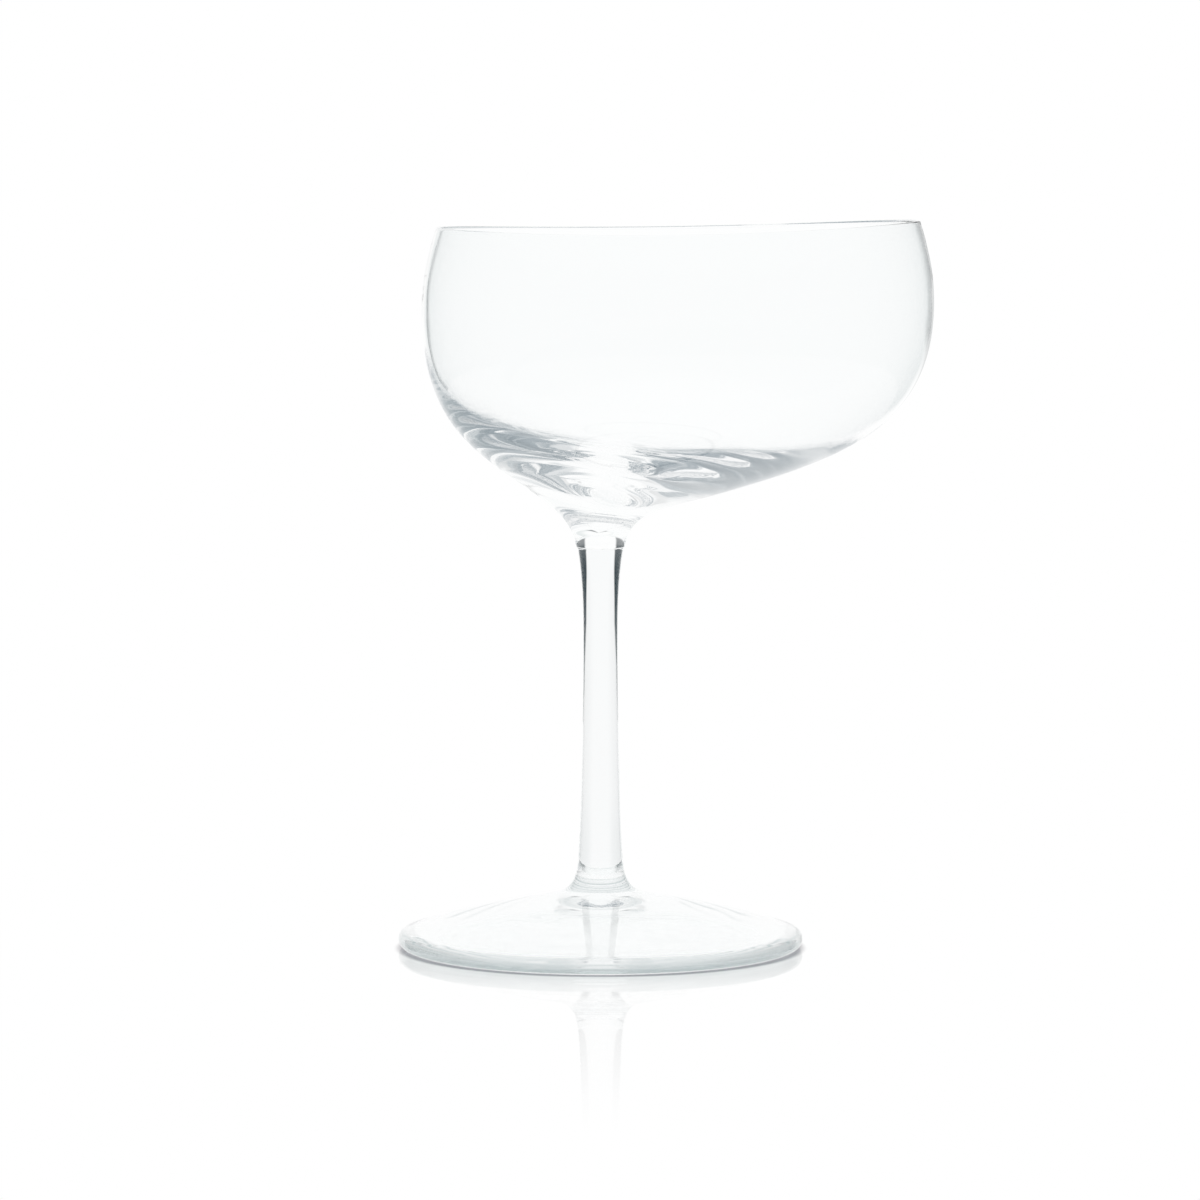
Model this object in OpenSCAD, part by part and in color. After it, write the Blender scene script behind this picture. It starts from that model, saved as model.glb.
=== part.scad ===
// Coupe glass with a bowl that leans out to one side of its stem.
// Three gathers of clear glass, welded hot: a blown bowl, a drawn stem and a spread foot.
// Millimetres. The origin is on the table, under the middle of the foot, and the stem stands along +Z.
// The bowl overhangs towards +X, the far side. The side over the foot's left edge is the near side.

/* [Foot] */
// Diameter of the foot
foot_d = 84.8; // [75:0.1:95]
// Thickness of the foot's rounded edge
foot_edge_t = 3.6; // [2.4:0.1:4.4]
// Slope of the foot's top at its edge, in degrees
foot_edge_slope = 18.5; // [14:0.5:24]
// Slope of the foot's top where it turns up into its post, in degrees
foot_post_slope = 13.5; // [8:0.5:17]
// Radius at which it turns up
foot_post_r = 10.6; // [8.5:0.1:13]
// Height of the foot's top there
foot_post_h = 11.1; // [10:0.1:13]
// Height of the post's weld to the stem above the table
foot_h = 17.1; // [15:0.1:22]
// Width of the flat ring that the foot rests on
foot_rest_w = 2.4; // [1.5:0.1:4]
// Height of the hollow under the middle of the foot
foot_hollow_h = 7.6; // [4:0.1:9]
// Slope of the hollow where it leaves that ring, in degrees
foot_hollow_slope = 15; // [8:1:22]

/* [Stem] */
// Length of the stem between its two welds
stem_l = 66.8; // [50:0.1:88]
// Diameter at the weld to the foot
stem_foot_d = 9.6; // [8:0.1:12]
// Lean of the glass outwards at that weld, in degrees from upright
foot_weld_lean = 8.5; // [3:0.5:25]
// Diameter at the waist
stem_waist_d = 7.1; // [6:0.1:8]
// Height of the waist above the weld to the foot
stem_waist_h = 46; // [25:0.5:48]
// Diameter at the weld to the bowl
stem_bowl_d = 9.6; // [8.5:0.1:12]
// Lean of the stem outwards at that weld, in degrees from upright
bowl_weld_lean = 9; // [2:1:25]

/* [Bowl] */
// Height of the rim above the weld, on the near side
bowl_h = 66.4; // [60:0.1:74]
// Diameter of the belly
belly_d = 106.6; // [100:0.1:112]
// Height of the belly above the weld, on the near side
belly_h = 49.8; // [46:0.1:54]
// Diameter of the rim
rim_d = 100.8; // [90:0.1:104]
// Distance of the bowl's axis from the stem's axis
bowl_offset = 16.1; // [8:0.1:20]
// How much higher the belly and the rim stand on the far side
far_rise = 1.5; // [0:0.1:4]
// Dip of the rim at the front and the back
rim_dip = 1.2; // [0:0.1:2]
// Lean of the lip inwards, in degrees from upright
lip_lean = 17; // [5:1:25]
// Wall thickness at the rim
rim_wall = 1; // [0.7:0.05:1.8]
// Wall thickness at the belly
belly_wall = 1.1; // [0.8:0.05:2]
// Wall thickness of the underside, where the glass gathers over the stem
under_wall = 5.4; // [4:0.1:6.2]
// Height of the bowl's floor above the weld
floor_h = 13.3; // [11.5:0.1:14.5]
// Distance of the floor's middle from the stem's axis, towards the far side
floor_x = 2.8; // [0:0.1:5]
// Slope of the floor there, down towards the far side, in degrees
floor_tilt = 8; // [0:1:12]

/* [Underside of the bowl] */
// How far the shoulder of the bowl's neck stands out past the stem
shoulder_w = 0.4; // [0.1:0.05:1]
// Height of that shoulder
shoulder_h = 0.6; // [0.3:0.05:1.2]
// Lean of the neck outwards above its shoulder, in degrees from upright
neck_lean = 9.5; // [4:0.5:16]
// Reach of the near underside's straight part from the stem's axis
near_under_x = 20.7; // [17:0.1:23]
// Height of that part above the weld
near_under_h = 16.2; // [13.4:0.1:18.4]
// Its slope, in degrees
near_slope = 36; // [30:1:44]
// Slope of the inside over that part, in degrees
near_inner_slope = 14; // [8:1:24]
// Reach of the far underside's straight part from the stem's axis
far_under_x = 21.2; // [18:0.1:26]
// Height of that part above the weld
far_under_h = 10.3; // [8.9:0.1:11.9]
// Its slope, in degrees
far_slope = 16; // [12:1:20]
// Slope of the inside over that part, in degrees
far_inner_slope = 12; // [6:1:16]

/* [Hidden] */

glass_tint = [0.88, 0.93, 0.93, 0.45];

// Headings, in degrees. A profile runs with its first coordinate away from the axis and its second one up.
up = 90;
half_turn = 180;

// Pulls of the curves before and after their stations, as shares of the chord between two stations
foot_flare_shares = [0.59, 0.36];
foot_top_share = 0.29;
foot_hollow_shares = [0.28, 0.34];
stem_shares = [0.11, 0.22, 0.53, 0.31];
shoulder_share = 0.5;
near_shares = [0.31, 0.42, 0.32, 0.51];
far_shares = [0.36, 0.47, 0.48, 0.42];
lip_share = 0.36;
floor_share = 0.23;

// Where the wall starts to thicken, as a share of the way from the underside's straight part to the belly,
// and how gently it does
near_turn_share = 0.87;
far_turn_share = 0.48;
turn_power = 2;

// Heights of the two welds
foot_weld_z = foot_h;
bowl_weld_z = foot_h + stem_l;

// The foot's edge is a full round, and its top meets that round at a tangent
edge_r = foot_edge_t / 2;
edge_x = foot_d / 2 - edge_r;
rest_inner_r = edge_x - foot_rest_w;

// Steps along each curve, and points round each ring of the bowl
shoulder_steps = 3;
neck_steps = 8;
shell_steps = 14;
lip_steps = 5;
lip_round_steps = 4;
floor_steps = 8;
profile_steps = 20;
edge_steps = 14;
ring_sides = 64;

// Curves

function heading(angle) = [cos(angle), sin(angle)];

// A point on the curve with four control points
function bezier(c, t) =
    let (s = 1 - t) s * s * s * c[0] + 3 * s * s * t * c[1] + 3 * s * t * t * c[2] + t * t * t * c[3];

// The direction square to that curve, to its left
function leftward(c, t) =
    let (
        s = 1 - t,
        along = s * s * (c[1] - c[0]) + 2 * s * t * (c[2] - c[1]) + t * t * (c[3] - c[2])
    )
    [-along.y, along.x] / norm(along);

// A station on a profile: its point, its heading, and the pull of the curve before and after it,
// as shares of the chord to the neighbouring station
function station(point, angle, before_share, after_share) = [point, angle, before_share, after_share];

// Control points of the curve from station a to station b
function controls(a, b) =
    let (chord = norm(b[0] - a[0]))
    [a[0], a[0] + chord * a[3] * heading(a[1]), b[0] - chord * b[2] * heading(b[1]), b[0]];

// Points from station a up to station b, without b itself
function span(a, b, steps) =
    let (curve = controls(a, b)) [for (i = [0 : steps - 1]) bezier(curve, i / steps)];

// Points round an arc about a centre, without its last one
function arc(centre, radius, from_angle, to_angle, steps) =
    [for (i = [0 : steps - 1]) centre + radius * heading(from_angle + (to_angle - from_angle) * i / steps)];

// Foot

foot_top = [
    station([stem_foot_d / 2, foot_weld_z], -up + foot_weld_lean, 0, foot_flare_shares[0]),
    station([foot_post_r, foot_post_h], -foot_post_slope, foot_flare_shares[1], foot_top_share),
    station([edge_x, edge_r] + edge_r * heading(up - foot_edge_slope), -foot_edge_slope, foot_top_share, 0)
];

foot_hollow = [
    station([rest_inner_r, 0], half_turn - foot_hollow_slope, 0, foot_hollow_shares[0]),
    station([0, foot_hollow_h], half_turn, foot_hollow_shares[1], 0)
];

module foot() {
    color(glass_tint)
    rotate_extrude()
    polygon(concat(
        [[0, foot_weld_z]],
        span(foot_top[0], foot_top[1], profile_steps),
        span(foot_top[1], foot_top[2], profile_steps),
        arc([edge_x, edge_r], edge_r, up - foot_edge_slope, -up, edge_steps),
        [[edge_x, 0]],
        span(foot_hollow[0], foot_hollow[1], profile_steps),
        [foot_hollow[1][0]]
    ));
}

// Stem

stem_stations = [
    station([stem_foot_d / 2, 0], up + foot_weld_lean, 0, stem_shares[0]),
    station([stem_waist_d / 2, stem_waist_h], up, stem_shares[1], stem_shares[2]),
    station([stem_bowl_d / 2, stem_l], up - bowl_weld_lean, stem_shares[3], 0)
];

module stem() {
    color(glass_tint)
    translate([0, 0, foot_weld_z])
    rotate_extrude()
    polygon(concat(
        [[0, 0]],
        span(stem_stations[0], stem_stations[1], profile_steps),
        span(stem_stations[1], stem_stations[2], profile_steps),
        [stem_stations[2][0], [0, stem_l]]
    ));
}

// Bowl
// The near and the far profile are drawn in the plane of symmetry, each with its first coordinate away from
// the stem's axis. A circle spans each pair of points that they share, so the sections lean as the bowl does.

// A side of the bowl: the sign of its X, its rise, its underside's point and slope, its curves' pulls,
// the slope of its inside over the underside, and where its wall thickens
near_side = [
    -1, 0, [near_under_x, near_under_h], near_slope, near_shares, near_inner_slope, near_turn_share
];
far_side = [
    1, far_rise, [far_under_x, far_under_h], far_slope, far_shares, far_inner_slope, far_turn_share
];

// Outer stations: the weld, the shoulder, the underside, the belly and the rim
function outer_stations(side) =
    let (
        shift = side[0] * bowl_offset,
        shares = side[4]
    )
    [
        station([stem_bowl_d / 2, 0], 0, 0, shoulder_share),
        station([stem_bowl_d / 2 + shoulder_w, shoulder_h], up - neck_lean, shoulder_share, shares[0]),
        station(side[2], side[3], shares[1], shares[2]),
        station([belly_d / 2 + shift, belly_h + side[1]], up, shares[3], lip_share),
        station([rim_d / 2 + shift, bowl_h + side[1]], up + lip_lean, lip_share, 0)
    ];

// Inner stations: the rim, the belly, the underside and the middle of the floor
function inner_stations(side) =
    let (
        outer = outer_stations(side),
        inward = heading(half_turn + lip_lean)
    )
    [
        station(outer[4][0] + rim_wall * inward, lip_lean - up, 0, lip_share),
        station(outer[3][0] - [belly_wall, 0], -up, lip_share, 0),
        station(side[2] + under_wall * heading(side[3] + up), side[5] + half_turn, 0, floor_share),
        station([side[0] * floor_x, floor_h], half_turn - side[0] * floor_tilt, floor_share, 0)
    ];

// The inner wall from the belly down to the underside, without its last point.
// It follows the outer wall, and leaves it below the turn.
function inner_wall(side) =
    let (
        outer = outer_stations(side),
        shell = controls(outer[2], outer[3])
    )
    [for (i = [0 : shell_steps - 1])
        let (
            t = 1 - i / shell_steps,
            gather = pow(max(0, 1 - t / side[6]), turn_power)
        )
        bezier(shell, t) + (belly_wall + (under_wall - belly_wall) * gather) * leftward(shell, t)];

// The whole profile of one side, from the weld, over the lip, to the middle of the floor
function side_profile(side) =
    let (
        outer = outer_stations(side),
        inner = inner_stations(side),
        lip_middle = (outer[4][0] + inner[0][0]) / 2
    )
    concat(
        span(outer[0], outer[1], shoulder_steps),
        span(outer[1], outer[2], neck_steps),
        span(outer[2], outer[3], shell_steps),
        span(outer[3], outer[4], lip_steps),
        arc(lip_middle, rim_wall / 2, lip_lean, lip_lean + half_turn, lip_round_steps),
        span(inner[0], inner[1], lip_steps),
        inner_wall(side),
        span(inner[2], inner[3], floor_steps),
        [inner[3][0]]
    );

near_profile = side_profile(near_side);
far_profile = side_profile(far_side);

// How far a height lies from the belly towards the rim, from 0 to 1, eased at the belly
function lip_share_at(z) =
    let (share = max(0, (z - belly_h) / (bowl_h - belly_h))) share * share;

// The ring of points across one pair of profile points
function ring(near, far) =
    let (
        left = [-near.x, near.y],
        middle = (left + far) / 2,
        half = (far - left) / 2
    )
    [for (k = [0 : ring_sides - 1])
        let (
            angle = 360 * k / ring_sides,
            place = middle + half * cos(angle),
            depth = norm(half) * sin(angle)
        )
        [place.x, depth, place.y - rim_dip * lip_share_at(middle.y) * sin(angle) * sin(angle)]];

module bowl() {
    last = len(near_profile) - 1;
    rings = [for (i = [0 : last - 1]) ring(near_profile[i], far_profile[i])];
    weld_middle = ring_sides * last;
    floor_middle = weld_middle + 1;
    points = concat(
        [for (r = rings) each r],
        [[0, 0, 0], [far_profile[last].x, 0, far_profile[last].y]]
    );
    skin = [
        for (i = [0 : last - 2], k = [0 : ring_sides - 1])
        let (
            a = i * ring_sides + k,
            b = i * ring_sides + (k + 1) % ring_sides,
            c = b + ring_sides,
            d = a + ring_sides
        )
        each [[a, d, c], [a, c, b]]
    ];
    caps = [
        for (k = [0 : ring_sides - 1])
        let (
            next = (k + 1) % ring_sides,
            top = (last - 1) * ring_sides
        )
        each [[weld_middle, k, next], [floor_middle, top + next, top + k]]
    ];
    color(glass_tint)
    translate([0, 0, bowl_weld_z])
    polyhedron(points = points, faces = concat(skin, caps), convexity = 4);
}

foot();
stem();
bowl();
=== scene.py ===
import math

import bmesh
import bpy
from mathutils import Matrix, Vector, noise


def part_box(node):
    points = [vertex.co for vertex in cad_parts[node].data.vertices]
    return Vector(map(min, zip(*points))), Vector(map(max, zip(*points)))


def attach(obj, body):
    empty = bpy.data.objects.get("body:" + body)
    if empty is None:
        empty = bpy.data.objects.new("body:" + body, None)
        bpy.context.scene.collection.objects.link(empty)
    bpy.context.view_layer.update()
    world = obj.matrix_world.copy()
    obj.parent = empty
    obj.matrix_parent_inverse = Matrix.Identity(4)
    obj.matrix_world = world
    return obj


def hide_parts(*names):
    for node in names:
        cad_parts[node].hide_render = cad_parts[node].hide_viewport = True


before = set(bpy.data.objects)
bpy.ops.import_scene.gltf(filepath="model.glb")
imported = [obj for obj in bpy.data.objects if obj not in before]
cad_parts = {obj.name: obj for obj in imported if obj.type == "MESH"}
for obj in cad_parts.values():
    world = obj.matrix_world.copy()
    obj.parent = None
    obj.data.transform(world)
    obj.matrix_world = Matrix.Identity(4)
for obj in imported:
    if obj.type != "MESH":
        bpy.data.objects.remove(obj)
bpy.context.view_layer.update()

MM = 0.001
UP, HALF_TURN = 90, 180

# Sizes of the glass in millimetres and degrees, as in the part's source.
# The weld heights and the foot's width come from the frame.
# A share says how far a curve is pulled along its heading, as a part of its chord.

FOOT_LOW, FOOT_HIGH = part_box("foot")
STEM_LOW, STEM_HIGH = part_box("stem")
FOOT_WELD_Z = STEM_LOW[2] / MM
BOWL_WELD_Z = STEM_HIGH[2] / MM
STEM_L = BOWL_WELD_Z - FOOT_WELD_Z
FOOT_D = (FOOT_HIGH[0] - FOOT_LOW[0]) / MM

FOOT_EDGE_T = 3.6
FOOT_EDGE_SLOPE = 18.5
FOOT_POST_SLOPE = 13.5
FOOT_POST_R = 10.6
FOOT_POST_H = 11.1
FOOT_REST_W = 2.4
FOOT_HOLLOW_H = 7.6
FOOT_HOLLOW_SLOPE = 15
FOOT_FLARE_SHARES = (0.59, 0.36)
FOOT_TOP_SHARE = 0.29
FOOT_HOLLOW_SHARES = (0.28, 0.34)

STEM_FOOT_D = 9.6
FOOT_WELD_LEAN = 8.5
STEM_WAIST_D = 7.1
STEM_WAIST_H = 46
STEM_BOWL_D = 9.6
BOWL_WELD_LEAN = 9
STEM_SHARES = (0.11, 0.22, 0.53, 0.31)

SHOULDER_W = 0.4
SHOULDER_H = 0.6
SHOULDER_SHARE = 0.5
NECK_LEAN = 9.5
BOWL_H = 66.4
BELLY_D = 106.6
BELLY_H = 49.8
RIM_D = 100.8
BOWL_OFFSET = 16.1
FAR_RISE = 1.5
RIM_DIP = 1.2
LIP_LEAN = 17
RIM_WALL = 1
BELLY_WALL = 1.1
UNDER_WALL = 5.4
FLOOR_H = 13.3
FLOOR_X = 2.8
FLOOR_TILT = 8
TURN_POWER = 2
LIP_SHARE = 0.36
FLOOR_SHARE = 0.23

# A side of the bowl: the sign of its X, its rise, its underside's point and slope, and its curves' shares,
# then the slope of the inside over that point, and how far up to the belly the wall stays thickened
NEAR_SIDE = (-1, 0, (20.7, 16.2), 36, (0.31, 0.42, 0.32, 0.51), 14, 0.87)
FAR_SIDE = (1, FAR_RISE, (21.2, 10.3), 16, (0.36, 0.47, 0.48, 0.42), 12, 0.48)

# Points along each curve and round each ring
FLARE_STEPS, TOP_STEPS, EDGE_STEPS, HOLLOW_STEPS = 40, 60, 36, 60
STEM_STEPS = 80
NECK_STEPS, UNDER_STEPS, WALL_STEPS, LIP_STEPS, RIM_STEPS, FLOOR_STEPS = 12, 36, 60, 24, 14, 40
ROUND = 192

# How far the hand-worked surface strays, and the length of its waves, in millimetres
POST_STRAY, FOOT_STRAY, STEM_STRAY, BOWL_STRAY = 0.02, 0.025, 0.02, 0.2
FOOT_WAVE, FOOT_RING_WAVE = 16, 4
STEM_WAVE, STEM_LONG_WAVE = 2.5, 9
BOWL_WAVE, BOWL_UP_WAVE = 14, 7
STILL_RINGS = 5  # the first rings of the foot and the stem, next to their weld, don't stray


# Curves

def heading(angle):
    return Vector((math.cos(math.radians(angle)), math.sin(math.radians(angle))))


def station(point, angle, before, after):
    """A point that curves pass, their heading there, and their shares before and after it."""
    return Vector(point), angle, before, after


def pulls(a, b):
    """Control points of the curve from station a to station b."""
    chord = (b[0] - a[0]).length
    return a[0], a[0] + chord * a[3] * heading(a[1]), b[0] - chord * b[2] * heading(b[1]), b[0]


def bezier(c, t):
    s = 1 - t
    return s**3 * c[0] + 3 * s * s * t * c[1] + 3 * s * t * t * c[2] + t**3 * c[3]


def inward(c, t):
    """Unit vector square to a curve, to its left."""
    s = 1 - t
    along = s * s * (c[1] - c[0]) + 2 * s * t * (c[2] - c[1]) + t * t * (c[3] - c[2])
    return Vector((-along.y, along.x)).normalized()


def span(a, b, steps):
    """Points from station a up to station b, without b itself."""
    return [bezier(pulls(a, b), i / steps) for i in range(steps)]


def arc(centre, radius, start, end, steps):
    """Points round an arc, without its last one."""
    return [centre + radius * heading(start + (end - start) * i / steps) for i in range(steps)]


# Meshes: rings of points joined into a skin. Each ring is a function of its angle, in millimetres.

class Skin:
    def __init__(self):
        self.bm = bmesh.new()
        self.rings = []
        self.depth = {}  # how far the hand-worked surface strays, by vertex

    def ring(self, place, depth=0.0):
        verts = []
        for k in range(ROUND):
            v = self.bm.verts.new(place(2 * math.pi * k / ROUND))
            self.depth[v] = depth
            verts.append(v)
        if self.rings:
            low = self.rings[-1]
            for k in range(ROUND):
                n = (k + 1) % ROUND
                self.bm.faces.new((low[k], low[n], verts[n], verts[k]))
        self.rings.append(verts)

    def cap(self, middle, first, weld):
        """Close the first or the last ring with a fan about its middle."""
        ring = self.rings[0] if first else self.rings[-1]
        hub = self.bm.verts.new(middle)
        self.depth[hub] = 0.0 if weld else self.depth[ring[0]]
        for k in range(ROUND):
            n = (k + 1) % ROUND
            pair = (ring[n], ring[k]) if first else (ring[k], ring[n])
            face = self.bm.faces.new((hub, *pair))
            face.material_index = 1 if weld else 0
            if weld:
                self.bm.edges.get((ring[k], ring[n])).smooth = False

    def stray(self, pattern):
        """Move the surface along its normals by each point's depth times the pattern there."""
        self.bm.normal_update()
        for v, move in [(v, v.normal * self.depth[v] * pattern(v.co)) for v in self.bm.verts]:
            v.co += move

    def piece(self, name, node, tint, edge_tint_and_shade=None):
        """Make the skin a piece of the scene, in metres, that stands for a node of the part."""
        for face in self.bm.faces:
            face.smooth = True
        bmesh.ops.scale(self.bm, vec=(MM, MM, MM), verts=self.bm.verts)
        bmesh.ops.recalc_face_normals(self.bm, faces=self.bm.faces)
        mesh = bpy.data.meshes.new(name)
        self.bm.to_mesh(mesh)
        self.bm.free()
        piece = bpy.data.objects.new(name, mesh)
        bpy.context.scene.collection.objects.link(piece)
        mesh.materials.append(glass_material(name, tint, edge_tint_and_shade))
        mesh.materials.append(WELD)
        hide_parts(node)
        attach(piece, "root")


def turned(r, z):
    return lambda angle: (r * math.cos(angle), r * math.sin(angle), z)


# Shader nodes

class Shader:
    """The nodes of a material or a world. Values are numbers, colours or the sockets of other nodes."""

    def __init__(self, owner):
        owner.use_nodes = True
        self.nodes = owner.node_tree.nodes
        self.links = owner.node_tree.links

    def put(self, socket, value):
        if isinstance(value, bpy.types.NodeSocket):
            self.links.new(value, socket)
        else:
            socket.default_value = value

    def fill(self, node, **values):
        """Give a node its inputs, where an underscore stands for a space in an input's name."""
        for name, value in values.items():
            self.put(node.inputs[name.replace("_", " ")], value)
        return node

    def new(self, kind, **values):
        return self.fill(self.nodes.new("ShaderNode" + kind), **values)

    def math(self, operation, *values):
        n = self.new("Math")
        n.operation = operation
        for socket, value in zip(n.inputs, values):
            self.put(socket, value)
        return n.outputs["Value"]

    def vector(self, operation, *values):
        n = self.new("VectorMath")
        n.operation = operation
        for socket, value in zip(n.inputs, values):
            self.put(socket, value)
        return n.outputs["Value" if operation == "LENGTH" else "Vector"]

    def axes(self, vector):
        return self.new("SeparateXYZ", Vector=vector).outputs

    def mix(self, share, first, second):
        n = self.new("MixRGB", Fac=share, Color1=first, Color2=second)
        return n.outputs["Color"]

    def ramp(self, value, low, high, first, last, kind="SMOOTHSTEP"):
        """A change from first at low to last at high."""
        n = self.new("MapRange", Value=value, From_Min=low, From_Max=high, To_Min=first, To_Max=last)
        n.interpolation_type = kind
        return n.outputs["Result"]

    def band(self, value, low, high, soft_low, soft_high):
        """1 between low and high and 0 outside them, with soft ends of those widths."""
        rise = self.ramp(value, low - soft_low / 2, low + soft_low / 2, 0, 1)
        return self.product(rise, self.ramp(value, high - soft_high / 2, high + soft_high / 2, 1, 0))

    def product(self, first, *others):
        for value in others:
            first = self.math("MULTIPLY", first, value)
        return first

    def total(self, first, *others):
        for value in others:
            first = self.math("ADD", first, value)
        return first

    def largest(self, first, *others):
        for value in others:
            first = self.math("MAXIMUM", first, value)
        return first

    def above(self, value, limit):
        return self.math("GREATER_THAN", value, limit)

    def below(self, value, limit):
        return self.math("LESS_THAN", value, limit)

    def rest(self, share):
        return self.math("SUBTRACT", 1, share)


# Materials, in metres
# A ramp has two places and the value at each. A band has two places and how soft it is at each.
# All the glass is polished. The roughness is too low to blur anything, and only marks glass for the light:
# the foot, and up to the top of the bowl's neck the strips that face the back and the front.

GLASS_IOR = 1.5
ROUGHNESS = 0.01
NECK_TOP = 0.0925
BACK_STRIP, FRONT_STRIP = 0.9, -0.12  # shares of Y in the direction from the axis
WAVE_SCALE, WAVE_DETAIL, WAVE_STRENGTH, WAVE_DEPTH = 90, 1, 0.06, 0.0006

FOOT_TINT = (0.965, 0.978, 0.978)
STEM_TINT = (0.95, 0.96, 0.962)
BOWL_TINT = (0.99, 0.996, 0.996)
# The foot's edge colour is partly the glass's own deeper tint and partly painted shade for its dark edge.
EDGE_TINT_AND_SHADE = (0.32, 0.4, 0.41)  # painted round the foot's edge, with the ramps outwards and up
EDGE_OUT = (0.0406, 0.0414, 0, 1)
EDGE_UP = (0, 0.0028, 1, 0.12)
WHITE = (1, 1, 1, 1)


def glass_material(name, tint, edge_tint_and_shade=None):
    """Clear glass with a faint cool tint and slow waves. The foot's has a deeper tint at its edge, partly
    painted shade.
    """
    mat = bpy.data.materials.new(name)
    shader = Shader(mat)
    place = shader.new("TexCoord").outputs["Object"]
    height = shader.axes(place)["Z"]
    waves = shader.new("TexNoise", Vector=place, Scale=WAVE_SCALE, Detail=WAVE_DETAIL)
    bump = shader.new("Bump", Strength=WAVE_STRENGTH, Distance=WAVE_DEPTH, Height=waves.outputs["Fac"])
    glass = shader.nodes["Principled BSDF"]
    shader.fill(glass, Base_Color=(*tint, 1), Transmission_Weight=1.0, IOR=GLASS_IOR)
    shader.fill(glass, Normal=bump.outputs["Normal"])
    # Painted shade: the foot's edge, darkest at its bottom, is mixed towards a dark teal, partly the glass's
    # own deeper tint there
    if edge_tint_and_shade:
        reach = shader.vector("LENGTH", place)
        share = shader.product(shader.ramp(reach, *EDGE_OUT), shader.ramp(height, *EDGE_UP))
        shader.fill(glass, Base_Color=shader.mix(share, (*tint, 1), (*edge_tint_and_shade, 1)), Roughness=ROUGHNESS)
    else:
        outwards = shader.vector("NORMALIZE", shader.vector("MULTIPLY", place, (1, 1, 0)))
        facing = shader.axes(outwards)["Y"]
        strips = shader.largest(shader.above(facing, BACK_STRIP), shader.below(facing, FRONT_STRIP))
        marked = shader.product(shader.below(height, NECK_TOP), strips)
        shader.fill(glass, Roughness=shader.product(marked, ROUGHNESS))
    return mat


def weld_material():
    """A welded face: the glass runs on through it, so nothing bends or shines there."""
    mat = bpy.data.materials.new("weld")
    shader = Shader(mat)
    shader.nodes.remove(shader.nodes["Principled BSDF"])
    clear = shader.new("BsdfTransparent")
    shader.fill(shader.nodes["Material Output"], Surface=clear.outputs["BSDF"])
    return mat


WELD = weld_material()


# Foot

def make_foot():
    edge_r = FOOT_EDGE_T / 2
    edge_x = FOOT_D / 2 - edge_r
    still_x = edge_x - 2 * FOOT_REST_W
    edge = Vector((edge_x, edge_r))
    weld = station((STEM_FOOT_D / 2, FOOT_WELD_Z), -UP + FOOT_WELD_LEAN, 0, FOOT_FLARE_SHARES[0])
    post = station((FOOT_POST_R, FOOT_POST_H), -FOOT_POST_SLOPE, FOOT_FLARE_SHARES[1], FOOT_TOP_SHARE)
    brink = station(edge + edge_r * heading(UP - FOOT_EDGE_SLOPE), -FOOT_EDGE_SLOPE, FOOT_TOP_SHARE, 0)
    rest = station((edge_x - FOOT_REST_W, 0), HALF_TURN - FOOT_HOLLOW_SLOPE, 0, FOOT_HOLLOW_SHARES[0])
    hollow = station((0, FOOT_HOLLOW_H), HALF_TURN, FOOT_HOLLOW_SHARES[1], 0)
    skin = Skin()
    for i, p in enumerate(span(weld, post, FLARE_STEPS)):
        skin.ring(turned(*p), POST_STRAY if i >= STILL_RINGS else 0.0)
    for p in span(post, brink, TOP_STEPS):
        skin.ring(turned(*p), FOOT_STRAY)
    for p in arc(edge, edge_r, UP - FOOT_EDGE_SLOPE, -UP, EDGE_STEPS):
        skin.ring(turned(*p))
    skin.ring(turned(edge_x, 0))
    for p in span(rest, hollow, HOLLOW_STEPS):
        skin.ring(turned(*p), FOOT_STRAY if p.x < still_x else 0.0)
    skin.cap((0, 0, FOOT_WELD_Z), True, True)
    skin.cap((0, 0, FOOT_HOLLOW_H), False, False)

    def pattern(p):
        return noise.noise((p.x / FOOT_WAVE, p.y / FOOT_WAVE, math.hypot(p.x, p.y) / FOOT_RING_WAVE))

    skin.stray(pattern)
    # The foot gets a painted shade round its edge
    skin.piece("foot_glass", "foot", FOOT_TINT, EDGE_TINT_AND_SHADE)


# Stem

def make_stem():
    low = station((STEM_FOOT_D / 2, 0), UP + FOOT_WELD_LEAN, 0, STEM_SHARES[0])
    waist = station((STEM_WAIST_D / 2, STEM_WAIST_H), UP, STEM_SHARES[1], STEM_SHARES[2])
    high = station((STEM_BOWL_D / 2, STEM_L), UP - BOWL_WELD_LEAN, STEM_SHARES[3], 0)
    points = span(low, waist, STEM_STEPS) + span(waist, high, STEM_STEPS)
    skin = Skin()
    for i, p in enumerate(points):
        skin.ring(turned(p.x, FOOT_WELD_Z + p.y), STEM_STRAY if i >= STILL_RINGS else 0.0)
    skin.ring(turned(STEM_BOWL_D / 2, BOWL_WELD_Z))
    skin.cap((0, 0, FOOT_WELD_Z), True, True)
    skin.cap((0, 0, BOWL_WELD_Z), False, True)
    skin.stray(lambda p: noise.noise((p.x / STEM_WAVE, p.y / STEM_WAVE, p.z / STEM_LONG_WAVE)))
    skin.piece("stem_glass", "stem", STEM_TINT)


# Bowl: a near and a far profile in the plane of symmetry, with a circle across each pair of their points

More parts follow.
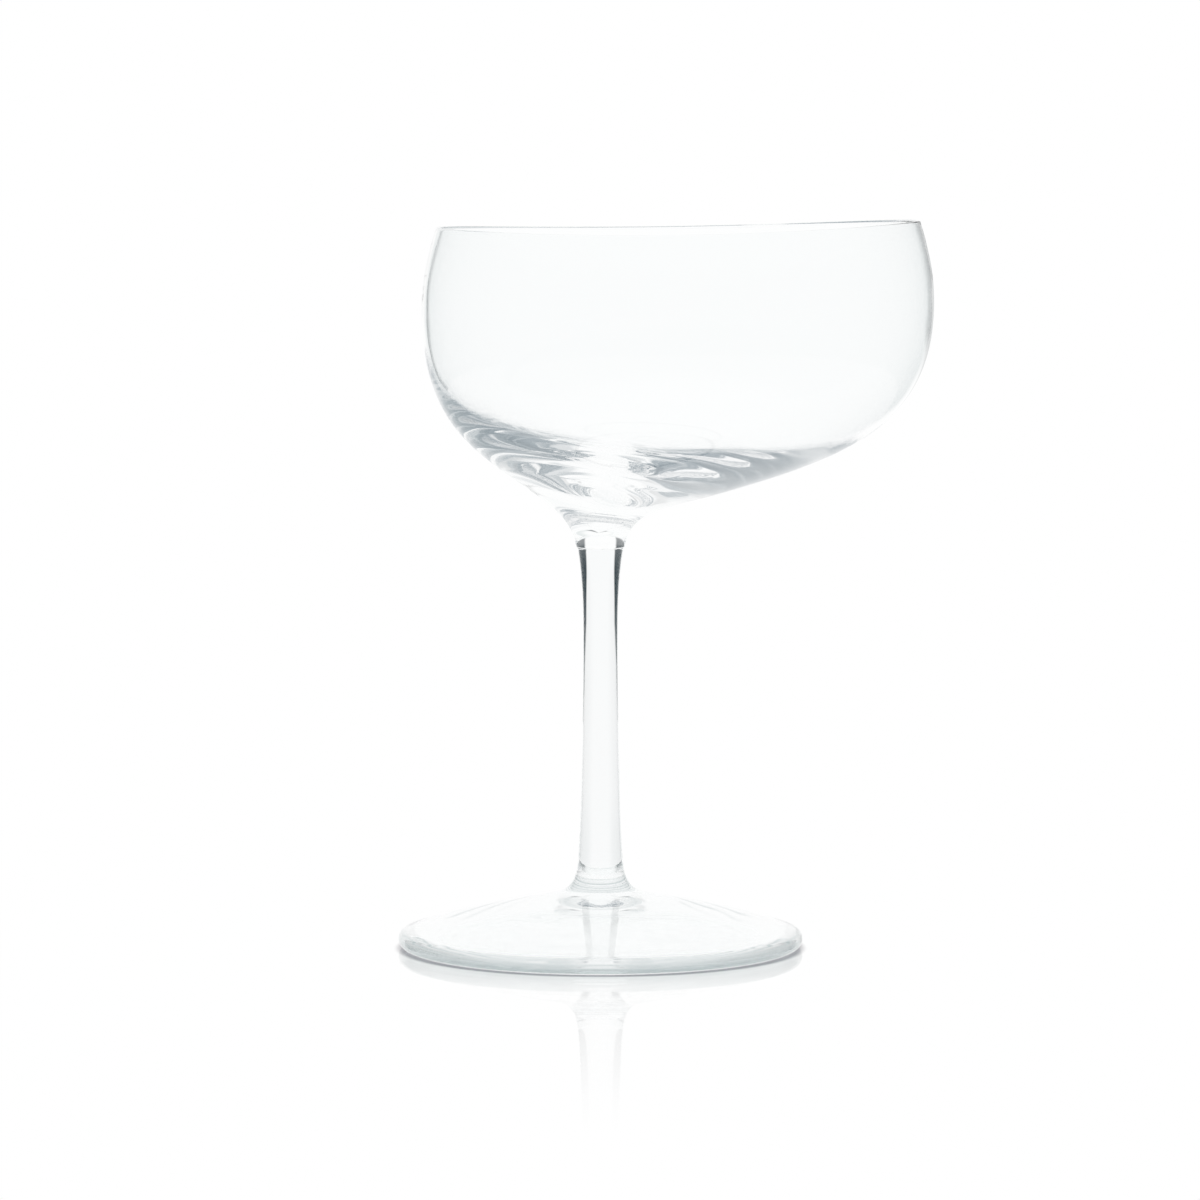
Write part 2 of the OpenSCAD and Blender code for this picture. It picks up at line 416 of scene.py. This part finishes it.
def side_profile(side):
    """Points from the weld up the outside, over the lip and down the inside to the middle of the floor."""
    sign, rise, under, slope, shares, floor_slope, turn_share = side
    shift = sign * BOWL_OFFSET
    outer = (
        station((STEM_BOWL_D / 2, 0), 0, 0, SHOULDER_SHARE),
        station((STEM_BOWL_D / 2 + SHOULDER_W, SHOULDER_H), UP - NECK_LEAN, SHOULDER_SHARE, shares[0]),
        station(under, slope, shares[1], shares[2]),
        station((BELLY_D / 2 + shift, BELLY_H + rise), UP, shares[3], LIP_SHARE),
        station((RIM_D / 2 + shift, BOWL_H + rise), UP + LIP_LEAN, LIP_SHARE, 0),
    )
    inner = (
        station(outer[4][0] + RIM_WALL * heading(HALF_TURN + LIP_LEAN), LIP_LEAN - UP, 0, LIP_SHARE),
        station(outer[3][0] - Vector((BELLY_WALL, 0)), -UP, LIP_SHARE, 0),
        station(outer[2][0] + UNDER_WALL * heading(slope + UP), floor_slope + HALF_TURN, 0, FLOOR_SHARE),
        station((sign * FLOOR_X, FLOOR_H), HALF_TURN - sign * FLOOR_TILT, FLOOR_SHARE, 0),
    )
    lip = (outer[4][0] + inner[0][0]) / 2
    shell = pulls(outer[2], outer[3])

    def inside(t):
        thick = BELLY_WALL + (UNDER_WALL - BELLY_WALL) * max(0, 1 - t / turn_share) ** TURN_POWER
        return bezier(shell, t) + thick * inward(shell, t)

    return (
        span(outer[0], outer[1], NECK_STEPS)
        + span(outer[1], outer[2], UNDER_STEPS)
        + span(outer[2], outer[3], WALL_STEPS)
        + span(outer[3], outer[4], LIP_STEPS)
        + arc(lip, RIM_WALL / 2, LIP_LEAN, LIP_LEAN + HALF_TURN, RIM_STEPS)
        + span(inner[0], inner[1], LIP_STEPS)
        + [inside(1 - i / WALL_STEPS) for i in range(WALL_STEPS)]
        + span(inner[2], inner[3], FLOOR_STEPS)
        + [inner[3][0]]
    )


def across(near, far):
    """A circle across a near and a far point, which dips between them towards the rim."""
    left = Vector((-near.x, near.y))
    middle, half = (left + far) / 2, (far - left) / 2
    share = max(0, (middle.y - BELLY_H) / (BOWL_H - BELLY_H))
    dip = RIM_DIP * share * share

    def place(angle):
        p = middle + half * math.cos(angle)
        return (p.x, half.length * math.sin(angle), BOWL_WELD_Z + p.y - dip * math.sin(angle) ** 2)
    return place


def make_bowl():
    near, far = side_profile(NEAR_SIDE), side_profile(FAR_SIDE)
    inside = NECK_STEPS + UNDER_STEPS + WALL_STEPS + LIP_STEPS + RIM_STEPS // 2
    skin = Skin()
    for i in range(len(near) - 1):
        low = max(0, 1 - (near[i].y + far[i].y) / 2 / BELLY_H)
        skin.ring(across(near[i], far[i]), BOWL_STRAY * low * low if i >= inside else 0.0)
    skin.cap((0, 0, BOWL_WELD_Z), True, True)
    skin.cap((far[-1].x, 0, BOWL_WELD_Z + far[-1].y), False, False)
    skin.stray(lambda p: noise.noise((p.x / BOWL_WAVE, p.y / BOWL_WAVE, p.z / BOWL_UP_WAVE)))
    skin.piece("bowl_glass", "bowl", BOWL_TINT)


make_foot()
make_stem()
make_bowl()


# Floor: a white board that glows evenly, with a reflection that fades outwards, in metres
# No shadow is cast on it, so a painted shade round the foot stands for its contact.

FLOOR_R = 0.35
FLOOR_DROP = 0.00005
FLOOR_POINTS = 128
FLOOR_IOR = 1.45
MIRROR_FADE = (0.04, 0.235, 1, 0)
CONTACT_SHIFT = 0.0016  # forward, as for light from behind
CONTACT = (0.0395, 0.0425, 0.002, 0.002)
CONTACT_SHADE = (0.22, 0.21, 0.24, 1)
CONTACT_DEPTH = 3.5  # rays that met more surfaces don't see the shade


def floor_material():
    mat = bpy.data.materials.new("floor")
    shader = Shader(mat)
    shader.nodes.remove(shader.nodes["Principled BSDF"])
    place = shader.new("TexCoord").outputs["Object"]
    reach = shader.vector("LENGTH", shader.vector("ADD", place, (0, CONTACT_SHIFT, 0)))
    direct = shader.below(shader.new("LightPath").outputs["Ray Depth"], CONTACT_DEPTH)
    contact = shader.product(shader.band(reach, *CONTACT), direct)
    glow = shader.new("Emission", Color=shader.mix(contact, WHITE, CONTACT_SHADE))
    gloss = shader.new("BsdfGlossy", Color=WHITE, Roughness=0.0)
    fresnel = shader.new("Fresnel", IOR=FLOOR_IOR).outputs["Fac"]
    both = shader.new("MixShader", Fac=shader.product(fresnel, shader.ramp(reach, *MIRROR_FADE)))
    shader.put(both.inputs[1], glow.outputs["Emission"])
    shader.put(both.inputs[2], gloss.outputs["BSDF"])
    shader.fill(shader.nodes["Material Output"], Surface=both.outputs["Shader"])
    return mat


def make_floor():
    bm = bmesh.new()
    bmesh.ops.create_circle(bm, cap_ends=True, radius=FLOOR_R, segments=FLOOR_POINTS)
    mesh = bpy.data.meshes.new("floor")
    bm.to_mesh(mesh)
    bm.free()
    mesh.materials.append(floor_material())
    floor = bpy.data.objects.new("floor", mesh)
    floor.location.z = -FLOOR_DROP
    floor.visible_glossy = False
    bpy.context.scene.collection.objects.link(floor)


# Light: a white room with dark sides past the edges of a pale backdrop
# It is no physical room: how dark a ray finds the sides also depends on its way through the glass,
# with values set from the photograph. Ramps and bands are as for the materials.
# Angles are in degrees: height above the horizon, turn to the right from straight behind the glass,
# and azimuth, which is turn without its sign.

DARK = (0.01, 0.03, 0.04, 1)
DIMMED = (0.0, 0.075, 0.125, 1)
SIDE_GREY = (0.81, 0.84, 0.84, 1)

# Ray Depth in the world is one more than the surfaces met, so each limit parts that count from the next
ONE_MET, TWO_MET, THREE_MET, FIVE_MET = 2.5, 3.5, 4.5, 6.5
TWO_CROSSED = 2.5    # for Transmission Depth, which isn't one more
NONE_MIRRORED = 0.5  # for Glossy Depth, which isn't either

# The backdrop's edge, by height: its azimuth, what the table adds to it, and its width
EDGE_TURN = (-4, 7, 45, 28)
EDGE_TABLE = (-8, -4, 30, 0)
EDGE_WIDTH = (-7, -1, 20, 6)

# The dark sides past that edge, for marked glass: their far end, by azimuth, and then by height
SIDE_END = (90, 140, 1, 0)
SIDE_LOW = (-10, -8, 0, 1)
SIDE_MIDDLE = (4, 14, 1, 0.8)
SIDE_HIGH = (24, 50, 1, 0)
MIRROR_TURN, MIRROR_UP = (34, 115, 10, 50), (-16, 24, 6, 40)  # what light off the outside sees
INNER_MIRROR = (16, 26, 0.65, 0)  # the share lost after a reflection inside, by height
SIDE_FADE = (5, 12, 1, 0.4)       # the share left, by depth

# What light that was trapped in the thick base sees: a low band, and a dome over it
LOW_TURN, LOW_UP = (36, 84, 8, 20), (-12, 19, 2, 14)
DOME_TURN, DOME_UP, DOME_SHARE = (32, 56, 0, 1), (0, 20, 0, 1), 0.5
TRAPPED = (20, 27, 0.2, 0.1)

# Thin dark lines in the bowl's walls
LEFT_TURN = (-27, -22, 4, 2)
RIGHT_TURN, RIGHT_UP = (15, 28, 6, 16), (-6.5, -3.5, 0, 0.8)
RIGHT_MIRROR_TURN, RIGHT_MIRROR_UP = (9, 22, 5, 8), (-9, -4, 0, 0.45)

# How much darker the world's light is made for rays that met many surfaces, by depth, as painted shade for
# the thick base, and where the light has to leave for that
DIM_STEPS = ((7, 11.5, 1, 0.27), (20, 27, 0, 0.33), (30, 36, 0, -0.33), (70, 100, 0, 0.6))
DIM_TURN, DIM_UP = (10, 26, 0, 1), (34, 52, 1, 0)

# The grey of the room in the bowl's reflections
GREY_TURN, GREY_UP = (14, 24, 0, 1), (-45, 60, 50, 20)


class Studio(Shader):
    """The world's nodes, with sockets for where a ray leaves the scene and what it has met."""

    def __init__(self, world):
        super().__init__(world)
        x, y, z = self.axes(self.new("TexCoord").outputs["Generated"])
        self.turn = self.math("DEGREES", self.math("ARCTAN2", x, y))
        self.azimuth = self.math("ABSOLUTE", self.turn)
        self.height = self.math("DEGREES", self.math("ARCSINE", z))
        path = self.new("LightPath").outputs
        self.path = path
        self.depth = path["Ray Depth"]
        self.clear = self.product(path["Is Transmission Ray"], path["Is Singular Ray"])
        self.mirror = self.product(path["Is Reflection Ray"], path["Is Singular Ray"])
        self.shell = self.product(self.clear, self.below(path["Transmission Depth"], TWO_CROSSED))

    def dark_sides(self):
        """The sides as marked glass shows them: the stem, the foot and the bowl's neck."""
        path = self.path
        edge = self.total(self.ramp(self.height, *EDGE_TURN, "LINEAR"),
                          self.ramp(self.height, *EDGE_TABLE, "LINEAR"))
        width = self.ramp(self.height, *EDGE_WIDTH, "LINEAR")
        widths_past = self.math("DIVIDE", self.math("SUBTRACT", self.azimuth, edge), width)
        sides = self.product(
            self.ramp(widths_past, -0.5, 0.5, 0, 1),
            self.ramp(self.azimuth, *SIDE_END),
            self.ramp(self.height, *SIDE_LOW),
            self.ramp(self.height, *SIDE_MIDDLE),
            self.ramp(self.height, *SIDE_HIGH),
        )
        outside = self.product(
            path["Is Reflection Ray"],
            self.band(self.azimuth, *MIRROR_TURN),
            self.band(self.height, *MIRROR_UP),
        )
        inner = self.product(
            path["Is Transmission Ray"],
            self.above(path["Glossy Depth"], NONE_MIRRORED),
            self.ramp(self.height, *INNER_MIRROR),
        )
        return self.product(
            self.rest(path["Is Singular Ray"]),
            self.rest(path["Is Camera Ray"]),
            self.largest(sides, outside),
            self.rest(inner),
            self.ramp(self.depth, *SIDE_FADE),
        )

    def gathered(self):
        """The dark that light trapped in the thick base brings out of the bowl."""
        low = self.product(self.band(self.azimuth, *LOW_TURN), self.band(self.height, *LOW_UP))
        dome = self.product(self.ramp(self.azimuth, *DOME_TURN), self.ramp(self.height, *DOME_UP), DOME_SHARE)
        trapped = self.product(self.above(self.depth, FIVE_MET), self.ramp(self.depth, *TRAPPED))
        return self.product(self.shell, self.largest(low, dome), trapped)

    def wall_lines(self):
        """The thin dark lines in the bowl's left and right walls."""
        left = self.band(self.turn, *LEFT_TURN)
        right = self.product(self.band(self.turn, *RIGHT_TURN), self.ramp(self.height, *RIGHT_UP))
        through = self.product(self.clear, self.below(self.depth, THREE_MET), self.total(left, right))
        mirrored = self.product(
            self.mirror,
            self.below(self.depth, ONE_MET),
            self.band(self.turn, *RIGHT_MIRROR_TURN),
            self.ramp(self.height, *RIGHT_MIRROR_UP),
        )
        return self.total(through, mirrored)

    def light_kept(self):
        """The share of the room's light kept by depth, made smaller as painted shade for the thick base,
        which is all of it towards the backdrop.
        """
        kept = self.total(*(self.ramp(self.depth, *step) for step in DIM_STEPS))
        dimmed = self.product(self.clear, self.ramp(self.azimuth, *DIM_TURN), self.ramp(self.height, *DIM_UP))
        return self.largest(kept, self.rest(dimmed))

    def greyed(self):
        """The reflections in the bowl that show the room's grey: off its surface, and inside its wall."""
        inside = self.product(self.shell, self.above(self.depth, TWO_MET), self.below(self.depth, THREE_MET))
        return self.product(
            self.total(self.mirror, inside),
            self.ramp(self.azimuth, *GREY_TURN),
            self.band(self.height, *GREY_UP),
        )


def make_world():
    world = bpy.data.worlds.new("studio")
    bpy.context.scene.world = world
    studio = Studio(world)
    room = studio.mix(studio.greyed(), WHITE, SIDE_GREY)
    # The room's light, painted darker for rays that met many surfaces in the base
    dimmed = studio.mix(studio.light_kept(), DIMMED, room)
    dark = studio.largest(studio.dark_sides(), studio.gathered(), studio.wall_lines())
    studio.fill(studio.nodes["Background"], Color=studio.mix(dark, dimmed, DARK), Strength=1.0)


# Camera: low in front of the glass, from the photograph's perspective
# Its lens is in millimetres, its place in metres, and its dip in degrees.

SENSOR_W, LENS = 36, 173.7
CAMERA_PLACE = (-0.0001, -1.206, 0.1718)
CAMERA_DIP = 4.688


def make_camera():
    data = bpy.data.cameras.new("camera")
    data.sensor_fit = "HORIZONTAL"
    data.sensor_width = SENSOR_W
    data.lens = LENS
    camera = bpy.data.objects.new("camera", data)
    camera.location = CAMERA_PLACE
    camera.rotation_euler = (math.radians(UP - CAMERA_DIP), 0, 0)
    bpy.context.scene.collection.objects.link(camera)
    bpy.context.scene.camera = camera


make_floor()
make_world()
make_camera()
bpy.context.scene.view_settings.view_transform = "Standard"

# Light crosses many faces on its way through the thick glass under the bowl
FACES_MET, WELDS_MET = 512, 40
cycles = bpy.context.scene.cycles
cycles.max_bounces = FACES_MET
cycles.transmission_bounces = FACES_MET
cycles.glossy_bounces = FACES_MET
cycles.transparent_max_bounces = WELDS_MET
